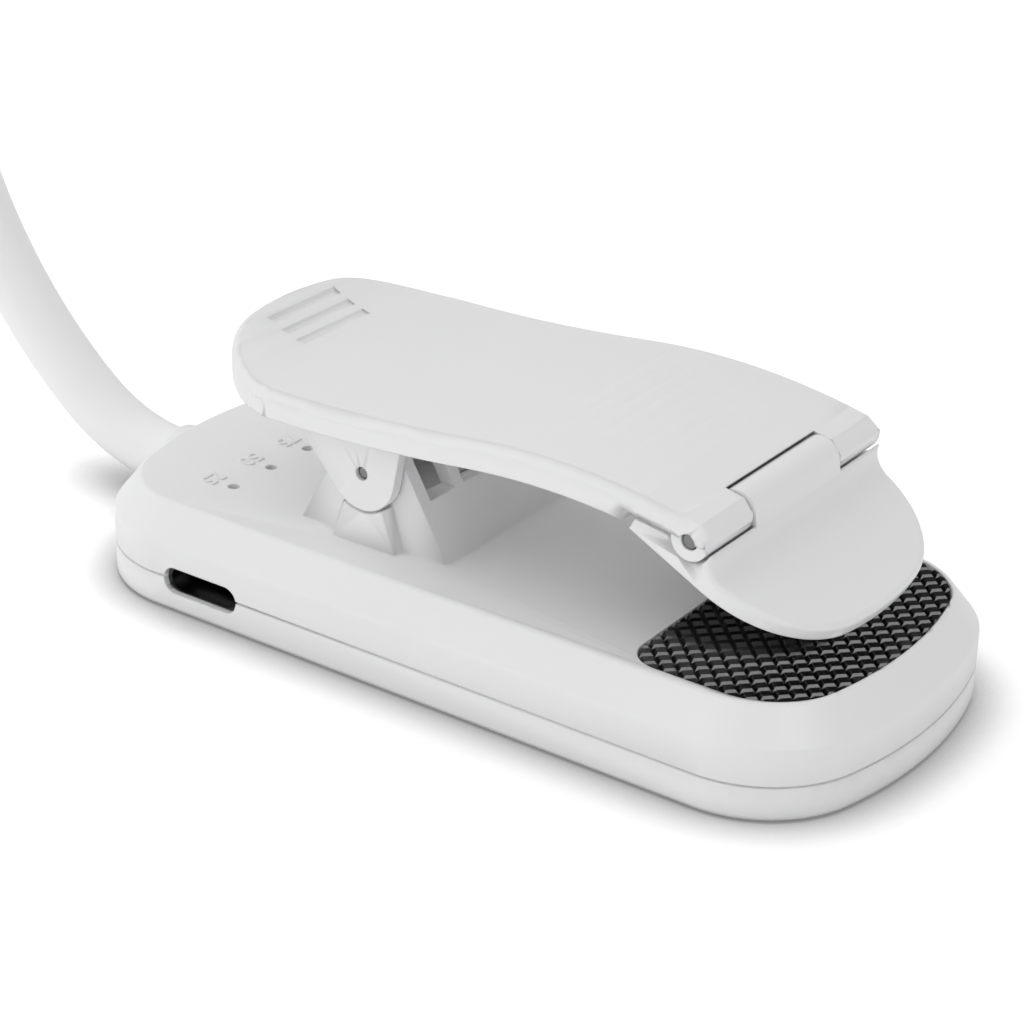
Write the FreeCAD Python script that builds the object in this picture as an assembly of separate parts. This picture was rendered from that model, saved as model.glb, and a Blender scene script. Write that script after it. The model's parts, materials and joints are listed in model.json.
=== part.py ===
"""Rechargeable reading lamp: a flat body with a sprung clip, a bendable neck and a light head.

The body lies on its front face with the clip upwards. X runs along the body to the clip's mouth,
Y across it and Z up. The origin is the middle of the flat front face. Lengths are in millimetres.
"""
import FreeCAD, Part
import math
import os

os.makedirs("parts", exist_ok=True)

V = FreeCAD.Vector
ORIGIN = V(0, 0, 0)
ALONG_X = V(1, 0, 0)
ALONG_Y = V(0, 1, 0)
ALONG_Z = V(0, 0, 1)

# Gaps that hold all over the lamp
overrun = 5.0
fit_gap = 0.05
seat_gap = 0.15
moving_gap = 0.3

# Body shells
base_length = 88.0
base_width = 40.4
base_bow = 4.84
base_corner = 11.6
base_height = 10.5
parting_height = 3.5
wall_height = 7.2
bevel_inset = 2.6
wall = 1.6
floor_thickness = 1.4
roof_thickness = 2.2
edge_round = 0.7
groove_height = 0.25
groove_depth = 0.5
lip_height = 0.9
lip_thickness = 0.9

base_front = base_length / 2
base_rear = -base_length / 2
half_width = base_width / 2
bow_radius = (half_width ** 2 + base_bow ** 2) / (2 * base_bow)
lip_inner = wall + seat_gap + lip_thickness
cavity_top = base_height - roof_thickness

# Rubber grip pad let into the top
pad_length = 19.15
pad_front_inset = 3.1
pad_side_inset = 3.5
pad_front_corner = 8.0
pad_corner = 3.0
pad_recess = 1.1
pad_thickness = 1.1
pad_floor = base_height - pad_recess
pad_front = base_front - pad_front_inset
pad_rear = pad_front - pad_length
pad_half = half_width - pad_side_inset

# Screws that hold the shells, under the grip pad
screw_from_front = 6.6
screw_half_span = 9.0
screw_radius = 0.9
screw_head_radius = 1.8
screw_head_height = 1.2
screw_sink = 1.4
screw_slot_width = 0.5
screw_slot_depth = 0.5
screw_tip = 0.5
boss_wall = 0.75
screw_x = base_front - screw_from_front
screw_seat = pad_floor - screw_sink
boss_radius = screw_head_radius + fit_gap + boss_wall

# Charging socket in the near side
usb_from_rear = 18.6
usb_recess = 0.7
usb_width = 8.94
usb_height = 3.16
usb_depth = 7.3
usb_wall = 0.3
usb_tongue_width = 6.7
usb_tongue_thickness = 0.7
usb_tongue_length = 4.5
usb_contact_width = 0.3
usb_contact_pitch = 0.5
usb_contact_length = 3.2
usb_contact_height = 0.08
usb_contact_count = 12
aperture_width = 9.2
aperture_height = 2.8
usb_x = base_rear + usb_from_rear
usb_mouth = -(half_width - usb_recess)
usb_back = usb_mouth + usb_depth

# Circuit board and what it carries
board_from_rear = 10.5
board_length = 18.0
board_thickness = 1.0
board_margin = 3.6
board_corner = 1.0
post_radius = 1.3
post_inset = 2.0
charge_from_rear = 15.5
charge_from_side = 9.0
charge_pitch = 5.8
charge_first_y = charge_from_side - half_width
charge_count = 4
charge_hole_radius = 0.6
charge_led_length = 1.6
charge_led_width = 0.8
charge_led_height = 0.6
chip_length = 5.0
chip_width = 4.0
chip_height = 1.4
coil_side = 3.0
coil_height = 1.6
chip_spacing = 5.5
board_rear = base_rear + board_from_rear
board_front = board_rear + board_length
board_half = half_width - board_margin
board_under = parting_height + usb_height / 2
board_top = board_under + board_thickness
charge_x = base_rear + charge_from_rear

# Push button in the front face and its switch
button_radius = 5.0
button_recess = 0.4
button_flange = 1.0
button_flange_height = 0.8
button_stem_radius = 1.2
button_stem_height = 0.4
button_travel = 0.4
switch_side = 6.0
switch_plunger_radius = 1.6
switch_plunger_height = 0.5
button_x = board_rear + board_length / 2 - chip_width / 2
stem_top = floor_thickness + button_flange_height + button_stem_height
plunger_tip = stem_top + button_travel + fit_gap

# Battery
battery_nose_room = 10.3
battery_side_room = 5.2
battery_height = 6.0
battery_round = 1.5
battery_gap = 1.2
tape_thickness = 0.3
tape_margin = 3.0
lead_radius = 0.45
lead_half_span = 0.9
lead_overlap = 2.5
battery_rear = board_front + battery_gap
battery_front = base_front - battery_nose_room
battery_length = battery_front - battery_rear
battery_width = 2 * (half_width - battery_side_room)
battery_under = floor_thickness + tape_thickness

# Clip bracket on the body
pivot_from_rear = 33.5
pivot_rise = 7.5
clip_pin_radius = 0.65
clip_pin_recess = 0.3
pin_round = 0.2
cheek_radius = 4.0
cheek_thickness = 1.5
cheek_rear_foot = 8.7
cheek_front_foot = 9.4
bracket_wall = 1.5
front_wall_rise = 8.0
rear_wall_rise = 4.5
notch_rise = 5.3
notch_width = 3.9
notch_post = 1.4
step_rear_foot = 3.7
step_front_foot = 4.1
step_rear_top = 1.2
step_front_top = 1.6
root_sink = 0.5
pivot_x = base_rear + pivot_from_rear
pivot_z = base_height + pivot_rise

# Clip lever
lever_margin = 4.4
lever_corner = 11.4
lever_rear_reach = 20.4
lever_curl_reach = 9.9
lever_curl_radius = 18.0
lever_rear_rise = 14.05
lever_peak_rise = 16.0
lever_peak_back = 15.3
lever_front_drop = 2.1
lever_front_corner = 1.2
lever_rim = 2.7
lever_rim_width = 1.5
lever_skin = 1.8
lever_bevel = 1.0
lever_jaw_skin = 1.7
lever_jaw_reach = 6.6
ear_inset = 2.2
ear_thickness = 1.2
ear_radius = 3.8
ear_rear_lean = 41.0
ear_front_lean = 11.0
finger_groove_length = 10.5
finger_groove_pitch = 1.85
finger_groove_radius = 0.6
finger_groove_depth = 0.3
finger_groove_count = 3
finger_groove_from_rear = 2.5
lever_half = half_width - lever_margin
ear_outer = lever_half - ear_inset
ear_inner = ear_outer - ear_thickness
cheek_outer = ear_inner - moving_gap
cheek_inner = cheek_outer - cheek_thickness
lever_rear = pivot_x - lever_rear_reach
lever_rear_top = base_height + lever_rear_rise
lever_peak_top = base_height + lever_peak_rise

# Swivel jaw at the lever's front end
jaw_pin_from_front = 17.2
jaw_pin_rise = 12.5
jaw_tilt = 26.8
jaw_half = 15.2
jaw_heel = 5.3
jaw_heel_round = 0.6
jaw_toe = 14.45
jaw_corner = 11.0
jaw_sole = 3.4
jaw_plate = 1.6
jaw_valley = 4.6
jaw_valley_round = 2.0
jaw_heel_top = 1.2
jaw_shelf_back = 2.0
jaw_shelf_top = 2.3
jaw_round = 0.5
jaw_edge_round = 0.6
knuckle_radius = 1.9
knuckle_gap = 0.3
tongue_half = 7.5
tongue_radius = 2.0
jaw_pad_inset = 1.7
jaw_pad_rear = 1.5
jaw_pad_recess = 0.7
jaw_pad_thickness = 1.0
jaw_pin_radius = 0.8
jaw_pin_recess = 0.1
jaw_pin_x = base_front - jaw_pin_from_front
jaw_pin_z = base_height + jaw_pin_rise
relief_radius = knuckle_radius + knuckle_gap
lever_front = jaw_pin_x + knuckle_radius
lever_peak_x = jaw_pin_x - lever_peak_back
lever_curl_x = pivot_x - lever_curl_reach
knuckle_outer = lever_half - lever_bevel / 2

# Torsion spring on the clip pin
spring_radius = 1.75
spring_wire_radius = 0.4
spring_pitch = 1.3
spring_turns = 6
spring_start = 20.0
spring_end = 66.7
spring_base_gap = 0.3
spring_lever_leg = 6.2

# Bendable neck, one entry for each stretch between two bending places
neck_radius = 3.25
neck_core_radius = 1.2
neck_height = 4.5
neck_lead = 3.9
neck_lengths = (13.3, 16.6, 16.6, 16.6, 20.0, 22.0, 22.0, 22.0, 14.0)
neck_turns = (38.0, 52.0 / 3, 52.0 / 3, 52.0 / 3, 0.0, 30.0, 30.0, 30.0, 10.0)
grommet_wall = 0.6
grommet_stand = 1.6
anchor_radius = 2.0
anchor_length = 8.0
clamp_half = 8.0
clamp_length = 4.0
clamp_thickness = 0.8
clamp_screw_half_span = 5.6
clamp_screw_radius = 0.7
clamp_screw_head_radius = 1.4
clamp_screw_head_height = 0.8
clamp_boss_radius = 1.9
neck_root = base_rear + wall + moving_gap
anchor_front = neck_root + anchor_length
clamp_top = neck_height + anchor_radius + clamp_thickness

# Light head
head_length = 72.0
head_width = 22.0
head_roof = 4.5
head_split = 3.5
head_under = 4.5
head_wall = 1.3
head_round = 1.8
head_frame_round = 0.6
neck_entry = 1.0
frame_inset = 2.3
flange_height = 0.8
window_proud = 0.3
led_board_from_root = 11.0
led_board_gap = 0.6
led_board_top = 0.2
led_board_thickness = 0.8
led_rows = 2
led_columns = 6
led_row_pitch = 7.0
led_length = 3.5
led_width = 2.8
led_height = 0.7
sheet_thickness = 0.3
sheet_window = 0.4
head_screw_inset = 6.0
head_screw_radius = 0.7
head_screw_head_radius = 1.3
head_screw_head_height = 0.7
head_boss_radius = 1.8
head_anchor_length = 6.0
head_socket_wall = 1.4
head_lead_overlap = 1.5
head_anchor_end = neck_entry + head_anchor_length

tiny = 1e-4


def save(name, *solids):
    """Writes one piece, or a group of like pieces, as a node of its own."""
    for solid in solids:
        if not solid.isValid() or len(solid.Solids) != 1:
            raise RuntimeError(f"{name}: {len(solid.Solids)} solids, valid {solid.isValid()}")
    shape = solids[0] if len(solids) == 1 else Part.makeCompound(list(solids))
    shape.exportStep(f"parts/{name}.step")


def block(x, y, z):
    """A box between the two ends given for each axis."""
    return Part.makeBox(x[1] - x[0], y[1] - y[0], z[1] - z[0], V(x[0], y[0], z[0]))


def rod_x(radius, x, y, z):
    return Part.makeCylinder(radius, x[1] - x[0], V(x[0], y, z), ALONG_X)


def rod_y(radius, y, x, z):
    return Part.makeCylinder(radius, y[1] - y[0], V(x, y[0], z), ALONG_Y)


def rod_z(radius, z, x, y):
    return Part.makeCylinder(radius, z[1] - z[0], V(x, y, z[0]), ALONG_Z)


def across(half):
    return (-half, half)


def joined(first, *others):
    return first.fuse(list(others)).removeSplitter()


def mirrored(shape):
    return shape.mirror(ORIGIN, ALONG_Y)


def line(start, end):
    return Part.LineSegment(start, end).toShape()


def arc(start, middle, end):
    return Part.Arc(start, middle, end).toShape()


def on_circle(centre, radius, degrees):
    """A point on a circle that lies level, at an angle from X towards Y."""
    turn = math.radians(degrees)
    return centre + V(radius * math.cos(turn), radius * math.sin(turn), 0)


def on_upright_circle(x, z, radius, degrees):
    """A point on a circle in the XZ plane, at an angle from X towards Z."""
    turn = math.radians(degrees)
    return V(x + radius * math.cos(turn), 0, z + radius * math.sin(turn))


def side_prism(points, y):
    """Extrudes an outline drawn in the XZ plane across the lamp."""
    face = Part.Face(Part.makePolygon(points + points[:1]))
    face.translate(V(0, y[0], 0))
    return face.extrude(V(0, y[1] - y[0], 0))


def bowed_end(end, half, bow, corner):
    """Half of a bowed end with round corners, from its side to its middle, on the +Y side."""
    bow_centre = V(end - bow, 0, 0)
    corner_y = half - corner
    corner_x = bow_centre.x + math.sqrt((bow - corner) ** 2 - corner_y ** 2)
    lean = math.degrees(math.atan2(corner_y, corner_x - bow_centre.x))
    corner_centre = V(corner_x, corner_y, 0)
    return {
        "side": V(corner_x, half, 0),
        "corner": on_circle(corner_centre, corner, (90 + lean) / 2),
        "meet": on_circle(bow_centre, bow, lean),
        "end": V(end, 0, 0),
    }


def flipped(point, x, y):
    return V(point.x * x, point.y * y, point.z)


def bowed_plate(p, rear, half, z):
    """A plate with a straight rear edge and a bowed front end."""
    side, corner, meet, end = p["side"], p["corner"], p["meet"], p["end"]
    edges = [arc(meet, end, flipped(meet, 1, -1)), line(V(rear, half, 0), V(rear, -half, 0))]
    for y in (1, -1):
        edges.append(arc(flipped(side, 1, y), flipped(corner, 1, y), flipped(meet, 1, y)))
        edges.append(line(V(rear, y * half, 0), flipped(side, 1, y)))
    face = Part.Face(Part.Wire(Part.__sortEdges__(edges)))
    face.translate(V(0, 0, z[0]))
    return face.extrude(V(0, 0, z[1] - z[0]))


def body_face(inset):
    """The body's outline, drawn in by an inset: straight sides, bowed ends, round corners."""
    p = bowed_end(base_front - inset, half_width - inset, bow_radius - inset, base_corner - inset)
    side, corner, meet, end = p["side"], p["corner"], p["meet"], p["end"]
    edges = []
    for x in (1, -1):
        edges.append(arc(flipped(side, x, 1), flipped(corner, x, 1), flipped(meet, x, 1)))
        edges.append(arc(flipped(meet, x, 1), flipped(end, x, 1), flipped(meet, x, -1)))
        edges.append(arc(flipped(meet, x, -1), flipped(corner, x, -1), flipped(side, x, -1)))
    for y in (1, -1):
        edges.append(line(flipped(side, -1, y), flipped(side, 1, y)))
    return Part.Face(Part.Wire(Part.__sortEdges__(edges)))


def body_slab(inset, z):
    face = body_face(inset)
    face.translate(V(0, 0, z[0]))
    return face.extrude(V(0, 0, z[1] - z[0]))


def body_bevel():
    """The sloping band between the upright wall and the top face."""
    low = body_face(0).OuterWire
    low.translate(V(0, 0, wall_height))
    high = body_face(bevel_inset).OuterWire
    high.translate(V(0, 0, base_height))
    return Part.makeLoft([low, high], True, True)


def stadium(width, height, x, z, y):
    """A bar along Y with flat top and bottom and half-round sides."""
    reach = width / 2 - height / 2
    bar = block((x - reach, x + reach), y, (z - height / 2, z + height / 2))
    ends = [rod_y(height / 2, y, x + side * reach, z) for side in (-1, 1)]
    return joined(bar, *ends)


def grip_slab(grow, z):
    """The grip pad's outline, larger by grow all round."""
    half = pad_half + grow
    rear = pad_rear - grow
    p = bowed_end(pad_front + grow, half, bow_radius, pad_front_corner + grow)
    slab = bowed_plate(p, rear, half, z)
    corners = [e for e in slab.Edges
               if abs(e.BoundBox.XMax - rear) < tiny and e.BoundBox.ZLength > (z[1] - z[0]) / 2]
    return slab.makeFillet(pad_corner + grow, corners)


def socket_cut():
    """The room that the charging socket takes in both shells."""
    mouth = stadium(aperture_width, aperture_height, usb_x, parting_height,
                    (-half_width - overrun, usb_back))
    half = usb_width / 2 + seat_gap
    room = block((usb_x - half, usb_x + half), (usb_mouth, usb_back + seat_gap),
                 (parting_height - usb_height / 2 - seat_gap, board_under))
    return joined(mouth, room)


def neck_hole():
    radius = neck_radius + fit_gap + grommet_wall + fit_gap
    return rod_x(radius, (base_rear - overrun, base_rear + lip_inner + moving_gap), 0, neck_height)


def screw_places():
    return [(screw_x, side * screw_half_span) for side in (-1, 1)]


def clamp_places():
    x = neck_root + anchor_length / 2
    return [(x, side * clamp_screw_half_span) for side in (-1, 1)]


def post_places():
    xs = (board_rear + post_inset, board_front - post_inset)
    far = board_half - post_inset
    near = usb_back + post_inset
    return [(x, y) for x in xs for y in (near, far)]


def front_shell():
    body = body_slab(0, (0, parting_height))
    body = body.makeFillet(edge_round, [e for e in body.Edges if abs(e.BoundBox.ZMax) < tiny])
    lip = body_slab(wall + seat_gap, (floor_thickness, parting_height + lip_height))
    body = joined(body, lip)
    body = body.cut(body_slab(lip_inner, (floor_thickness, parting_height + overrun)))
    bosses = [rod_z(boss_radius, (floor_thickness, parting_height), x, y) for x, y in screw_places()]
    bosses += [rod_z(clamp_boss_radius, (floor_thickness, clamp_top - clamp_thickness), x, y)
               for x, y in clamp_places()]
    bosses += [rod_z(post_radius, (floor_thickness, board_under), x, y) for x, y in post_places()]
    sink = [b.fuse(b.translated(V(0, 0, -root_sink))) for b in bosses]
    body = joined(body, *sink)
    cuts = [socket_cut(), neck_hole()]
    cuts.append(rod_z(button_radius + moving_gap, (-overrun, floor_thickness + overrun), button_x, 0))
    cuts += [rod_z(screw_radius + fit_gap, (floor_thickness, parting_height + overrun), x, y)
             for x, y in screw_places()]
    cuts += [rod_z(clamp_screw_radius + fit_gap, (floor_thickness, clamp_top), x, y)
             for x, y in clamp_places()]
    return body.cut(cuts)


def tangent_from(point, radius, side):
    """Where a line from a point in the XZ plane touches a circle round the clip pin."""
    dx = point.x - pivot_x
    dz = point.z - pivot_z
    bearing = math.degrees(math.atan2(dz, dx))
    spread = math.degrees(math.acos(radius / math.hypot(dx, dz)))
    return bearing + side * spread


def cheek_outline():
    """Side plate of the bracket: two sloping edges that run up to a round top on the pin."""
    foot = base_height - root_sink
    rear = V(pivot_x - cheek_rear_foot, 0, foot)
    front = V(pivot_x + cheek_front_foot, 0, foot)
    rear_angle = tangent_from(rear, cheek_radius, -1) % 360
    front_angle = tangent_from(front, cheek_radius, 1) % 360
    return rear, front, rear_angle, front_angle


def cheek():
    rear, front, rear_angle, front_angle = cheek_outline()
    top_rear = on_upright_circle(pivot_x, pivot_z, cheek_radius, rear_angle)
    top = on_upright_circle(pivot_x, pivot_z, cheek_radius, (rear_angle + front_angle) / 2)
    top_front = on_upright_circle(pivot_x, pivot_z, cheek_radius, front_angle)
    edges = [line(rear, top_rear), arc(top_rear, top, top_front), line(top_front, front), line(front, rear)]
    face = Part.Face(Part.Wire(edges))
    face.translate(V(0, cheek_inner, 0))
    return face.extrude(V(0, cheek_thickness, 0))


def sloping_wall(foot, angle, rise, half):
    """A wall between the side plates that follows one of their sloping edges."""
    outward = V(math.cos(math.radians(angle)), 0, math.sin(math.radians(angle)))
    touch = V(pivot_x, 0, pivot_z) + outward * cheek_radius
    slope = touch - foot
    top = foot + slope * ((rise + root_sink) / slope.z)
    inner = -outward * bracket_wall
    return side_prism([foot, top, top + inner, foot + inner], across(half))


def bracket():
    """The clip's stand: two side plates, a sloping front and rear wall, and a step under each ear."""
    rear, front, rear_angle, front_angle = cheek_outline()
    half = cheek_inner + cheek_thickness / 2
    front_wall = sloping_wall(front, front_angle, front_wall_rise, half)
    rear_wall = sloping_wall(rear, rear_angle, rear_wall_rise, half)
    low = base_height + notch_rise
    near = cheek_inner - notch_width
    for y in ((-cheek_inner, -near), across(near - notch_post), (near, cheek_inner)):
        front_wall = front_wall.cut(block((pivot_x, front.x + overrun), y, (low, pivot_z + overrun)))
    foot = base_height - root_sink
    step = side_prism([
        V(pivot_x - step_rear_foot, 0, foot),
        V(pivot_x - step_rear_top, 0, pivot_z),
        V(pivot_x + step_front_top, 0, pivot_z),
        V(pivot_x + step_front_foot, 0, foot),
    ], (cheek_outer - root_sink, ear_outer))
    step = step.cut(rod_y(ear_radius + moving_gap, across(ear_outer + overrun), pivot_x, pivot_z))
    sides = [shape for s in (cheek(), step) for shape in (s, mirrored(s))]
    return joined(front_wall, rear_wall, *sides)


def back_shell():
    body = joined(body_slab(0, (parting_height, wall_height)), body_bevel())
    rounds = [e for e in body.Edges
              if e.BoundBox.ZLength < tiny and e.BoundBox.ZMin > parting_height + tiny]
    body = body.makeFillet(edge_round, rounds)
    ring = body_slab(-overrun, (parting_height - overrun, parting_height + groove_height))
    body = body.cut(ring.cut(body_slab(groove_depth, (parting_height - overrun, base_height))))
    lip_room = parting_height + lip_height + seat_gap
    body = body.cut(body_slab(wall, (parting_height - overrun, lip_room)))
    body = body.cut(body_slab(lip_inner, (parting_height, cavity_top)))
    bosses = [rod_z(boss_radius, (parting_height, cavity_top + root_sink), x, y)
              for x, y in screw_places()]
    body = joined(body, bracket(), *bosses)
    cuts = [grip_slab(seat_gap, (pad_floor, base_height + overrun)), socket_cut(), neck_hole()]
    cuts.append(rod_y(clip_pin_radius + fit_gap, across(half_width), pivot_x, pivot_z))
    for x, y in screw_places():
        cuts.append(rod_z(screw_head_radius + fit_gap, (screw_seat, base_height), x, y))
        cuts.append(rod_z(screw_radius + seat_gap, (parting_height - overrun, base_height), x, y))
    for number in range(charge_count):
        y = charge_first_y + number * charge_pitch
        cuts.append(rod_z(charge_hole_radius, (parting_height, base_height + overrun), charge_x, y))
    return body.cut(cuts)


def screw(x, y, seat, tip, radius, head_radius, head_height):
    """A screw that points down, with a slot across its head."""
    shank = rod_z(radius, (tip + screw_tip, seat), x, y)
    point = Part.makeCone(0, radius, screw_tip, V(x, y, tip), ALONG_Z)
    head = rod_z(head_radius, (seat, seat + head_height), x, y)
    top = seat + head_height
    slot = block((x - head_radius, x + head_radius), (y - screw_slot_width / 2, y + screw_slot_width / 2),
                 (top - screw_slot_depth, top + overrun))
    return joined(shank, point, head).cut(slot)


def charging_socket():
    inner = usb_height - 2 * usb_wall
    y = (usb_mouth, usb_back)
    shell = stadium(usb_width, usb_height, usb_x, parting_height, y)
    hollow = stadium(usb_width - 2 * usb_wall, inner, usb_x, parting_height,
                     (usb_mouth - overrun, usb_back - usb_wall))
    save("usb_shell", shell.cut(hollow))
    half = usb_tongue_width / 2
    back = usb_back - usb_wall
    front = back - usb_tongue_length
    z = across(usb_tongue_thickness / 2)
    tongue = block((usb_x - half, usb_x + half), (front, back),
                   (parting_height + z[0], parting_height + z[1]))
    save("usb_tongue", tongue)
    contacts = []
    for side in (-1, 1):
        for number in range(usb_contact_count):
            x = usb_x + (number - (usb_contact_count - 1) / 2) * usb_contact_pitch
            low = parting_height + side * usb_tongue_thickness / 2
            height = sorted((low, low + side * usb_contact_height))
            contacts.append(block((x - usb_contact_width / 2, x + usb_contact_width / 2),
                                  (front + usb_contact_width, front + usb_contact_length), height))
    save("usb_contacts", *contacts)


def circuit_board():
    board = block((board_rear, board_front), across(board_half), (board_under, board_top))
    corners = [e for e in board.Edges if e.BoundBox.ZLength > board_thickness / 2]
    save("main_board", board.makeFillet(board_corner, corners))
    leds = []
    for number in range(charge_count):
        y = charge_first_y + number * charge_pitch
        leds.append(block((charge_x - charge_led_width / 2, charge_x + charge_led_width / 2),
                          (y - charge_led_length / 2, y + charge_led_length / 2),
                          (board_top, board_top + charge_led_height)))
    save("charge_leds", *leds)
    x = charge_x + chip_spacing
    chips = [block((x, x + chip_width), (y - chip_length / 2, y + chip_length / 2),
                   (board_top, board_top + chip_height)) for y in (-chip_spacing, chip_spacing)]
    save("board_chips", *chips)
    coil = block((x, x + coil_side), across(coil_side / 2), (board_top, board_top + coil_height))
    edges = [e for e in coil.Edges if e.BoundBox.ZLength > coil_height / 2]
    save("charge_coil", coil.makeFillet(coil_side / 5, edges))


def push_button():
    cap = rod_z(button_radius, (button_recess, floor_thickness), button_x, 0)
    rim = [e for e in cap.Edges if abs(e.BoundBox.ZMax - button_recess) < tiny]
    cap = cap.makeFillet(button_recess, rim)
    flange_top = floor_thickness + button_flange_height
    flange = rod_z(button_radius + moving_gap + button_flange, (floor_thickness, flange_top), button_x, 0)
    stem = rod_z(button_stem_radius, (flange_top, stem_top), button_x, 0)
    save("power_button", joined(cap, flange, stem))
    half = switch_side / 2
    box_low = plunger_tip + switch_plunger_height
    case = block((button_x - half, button_x + half), across(half), (box_low, board_under))
    save("button_switch", joined(case, rod_z(switch_plunger_radius, (plunger_tip, box_low), button_x, 0)))


def battery():
    half = battery_width / 2
    cell = block((battery_rear, battery_front), across(half),
                 (battery_under, battery_under + battery_height))
    long_edges = [e for e in cell.Edges if e.BoundBox.XLength > battery_length / 2]
    save("battery_cell", cell.makeFillet(battery_round, long_edges))
    save("battery_tape", block((battery_rear + tape_margin, battery_front - tape_margin),
                               across(half - tape_margin), (floor_thickness, battery_under)))
    z = board_top + lead_radius
    save("battery_leads", *[rod_x(lead_radius, (board_front - lead_overlap, battery_rear), side * lead_half_span, z)
                            for side in (-1, 1)])


def lever_curve(drop):
    """The lever's top line seen from the side: a curled thumb end, a hollow and a crown, lowered by a drop."""
    rise = lever_peak_top - lever_rear_top
    run = lever_peak_x - lever_curl_x
    reach = lever_front - lever_peak_x
    crown = (reach ** 2 + lever_front_drop ** 2) / (2 * lever_front_drop)
    hollow = (run ** 2 + rise ** 2) / (2 * rise) - crown
    low = lever_rear_top - drop
    curl_z = low + lever_curl_radius
    hollow_z = low + hollow
    crown_z = lever_peak_top - crown - drop
    curl = math.degrees(math.asin((lever_curl_x - lever_rear + lever_bevel) / lever_curl_radius))
    lean = math.degrees(math.atan2(run, crown + hollow - rise))
    end = math.degrees(math.asin((reach + lever_bevel) / crown))
    start = on_upright_circle(lever_curl_x, curl_z, lever_curl_radius, -90 - curl)
    curl_mid = on_upright_circle(lever_curl_x, curl_z, lever_curl_radius, -90 - curl / 2)
    bottom = V(lever_curl_x, 0, low)
    hollow_mid = on_upright_circle(lever_curl_x, hollow_z, hollow, -90 + lean / 2)
    meet = on_upright_circle(lever_curl_x, hollow_z, hollow, -90 + lean)
    crown_mid = on_upright_circle(lever_peak_x, crown_z, crown, 90 + (lean - end) / 2)
    last = on_upright_circle(lever_peak_x, crown_z, crown, 90 - end)
    edges = [arc(start, curl_mid, bottom), arc(bottom, hollow_mid, meet), arc(meet, crown_mid, last)]
    return edges, start, last


def lever_layer(top_drop, bottom_drop):
    """A layer that follows the lever's top line, between two drops below it."""
    top, top_start, top_end = lever_curve(top_drop)
    low, low_start, low_end = lever_curve(bottom_drop)
    edges = top + low + [line(top_start, low_start), line(top_end, low_end)]
    face = Part.Face(Part.Wire(Part.__sortEdges__(edges)))
    face.translate(V(0, -half_width, 0))
    return face.extrude(V(0, base_width, 0))


def lever_plan(inset, front):
    """The lever seen from above, drawn in by an inset: a bowed thumb end and straight sides."""
    half = lever_half - inset
    corner = lever_front_corner
    p = bowed_end(-lever_rear - inset, half, bow_radius - inset, lever_corner - inset)
    side, swell, meet, tip = [flipped(p[k], -1, 1) for k in ("side", "corner", "meet", "end")]
    nose = on_circle(V(front - corner, half - corner, 0), corner, 45)
    edges = [arc(meet, tip, flipped(meet, 1, -1)),
             line(V(front, half - corner, 0), V(front, corner - half, 0))]
    for y in (1, -1):
        edges.append(arc(flipped(meet, 1, y), flipped(swell, 1, y), flipped(side, 1, y)))
        edges.append(line(flipped(side, 1, y), V(front - corner, y * half, 0)))
        edges.append(arc(V(front - corner, y * half, 0), flipped(nose, 1, y),
                         V(front, y * (half - corner), 0)))
    face = Part.Face(Part.Wire(Part.__sortEdges__(edges)))
    return face.extrude(V(0, 0, lever_peak_top + lever_curl_radius))


def ear():
    """A side plate under the lever that hangs round the clip pin and flares up to the lever."""
    rear_angle = 180 + ear_rear_lean
    front_angle = -ear_front_lean
    low_rear = on_upright_circle(pivot_x, pivot_z, ear_radius, rear_angle)
    low = on_upright_circle(pivot_x, pivot_z, ear_radius, (rear_angle + front_angle + 360) / 2)
    low_front = on_upright_circle(pivot_x, pivot_z, ear_radius, front_angle)
    height = lever_rear_top - lever_skin + root_sink
    rear_slope = math.tan(math.radians(90 - ear_rear_lean))
    rear_top = V(low_rear.x - (height - low_rear.z) / rear_slope, 0, height)
    front_top = V(low_front.x + (height - low_front.z) * math.tan(math.radians(ear_front_lean)), 0, height)
    edges = [line(rear_top, low_rear), arc(low_rear, low, low_front),
             line(low_front, front_top), line(front_top, rear_top)]
    face = Part.Face(Part.Wire(edges))
    face.translate(V(0, ear_inner, 0))
    return face.extrude(V(0, ear_thickness, 0))


def finger_grooves():
    """Shallow grooves across the curled thumb end."""
    curl_z = lever_rear_top + lever_curl_radius
    depth = lever_curl_radius - finger_groove_radius + finger_groove_depth
    grooves = []
    for number in range(finger_groove_count):
        x = lever_rear + finger_groove_from_rear + number * finger_groove_pitch
        lean = math.degrees(math.asin((lever_curl_x - x) / lever_curl_radius))
        centre = on_upright_circle(lever_curl_x, curl_z, depth, -90 - lean)
        grooves.append(rod_y(finger_groove_radius, across(finger_groove_length / 2), centre.x, centre.z))
    return grooves


def lever_top_rim(plate):
    """The edges where the lever's top meets its sides."""
    chosen = []
    for edge in plate.Edges:
        box = edge.BoundBox
        middle = edge.valueAt((edge.FirstParameter + edge.LastParameter) / 2)
        on_top = plate.distToShape(Part.Vertex(middle + V(0, 0, lever_rim / 2)))[0] > lever_rim / 2 - tiny
        if not on_top or box.ZLength > lever_rim - tiny:
            continue
        seam = box.XLength < tiny and box.XMax < lever_front - tiny
        above = lever_low_side(middle) > lever_rim / 2
        if above and not seam:
            chosen.append(edge)
    return chosen


def lever_low_side(point):
    """How far a point lies above the lever's underside at the same place along it."""
    down = line(point + V(0, 0, overrun), point - V(0, 0, lever_peak_top))
    edges, start, last = lever_curve(lever_rim)
    flat = [e.translated(V(0, point.y, 0)) for e in edges]
    hits = [f.distToShape(down)[1][0][0] for f in flat]
    gaps = [abs(h.x - point.x) for h in hits]
    return point.z - hits[gaps.index(min(gaps))].z


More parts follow.
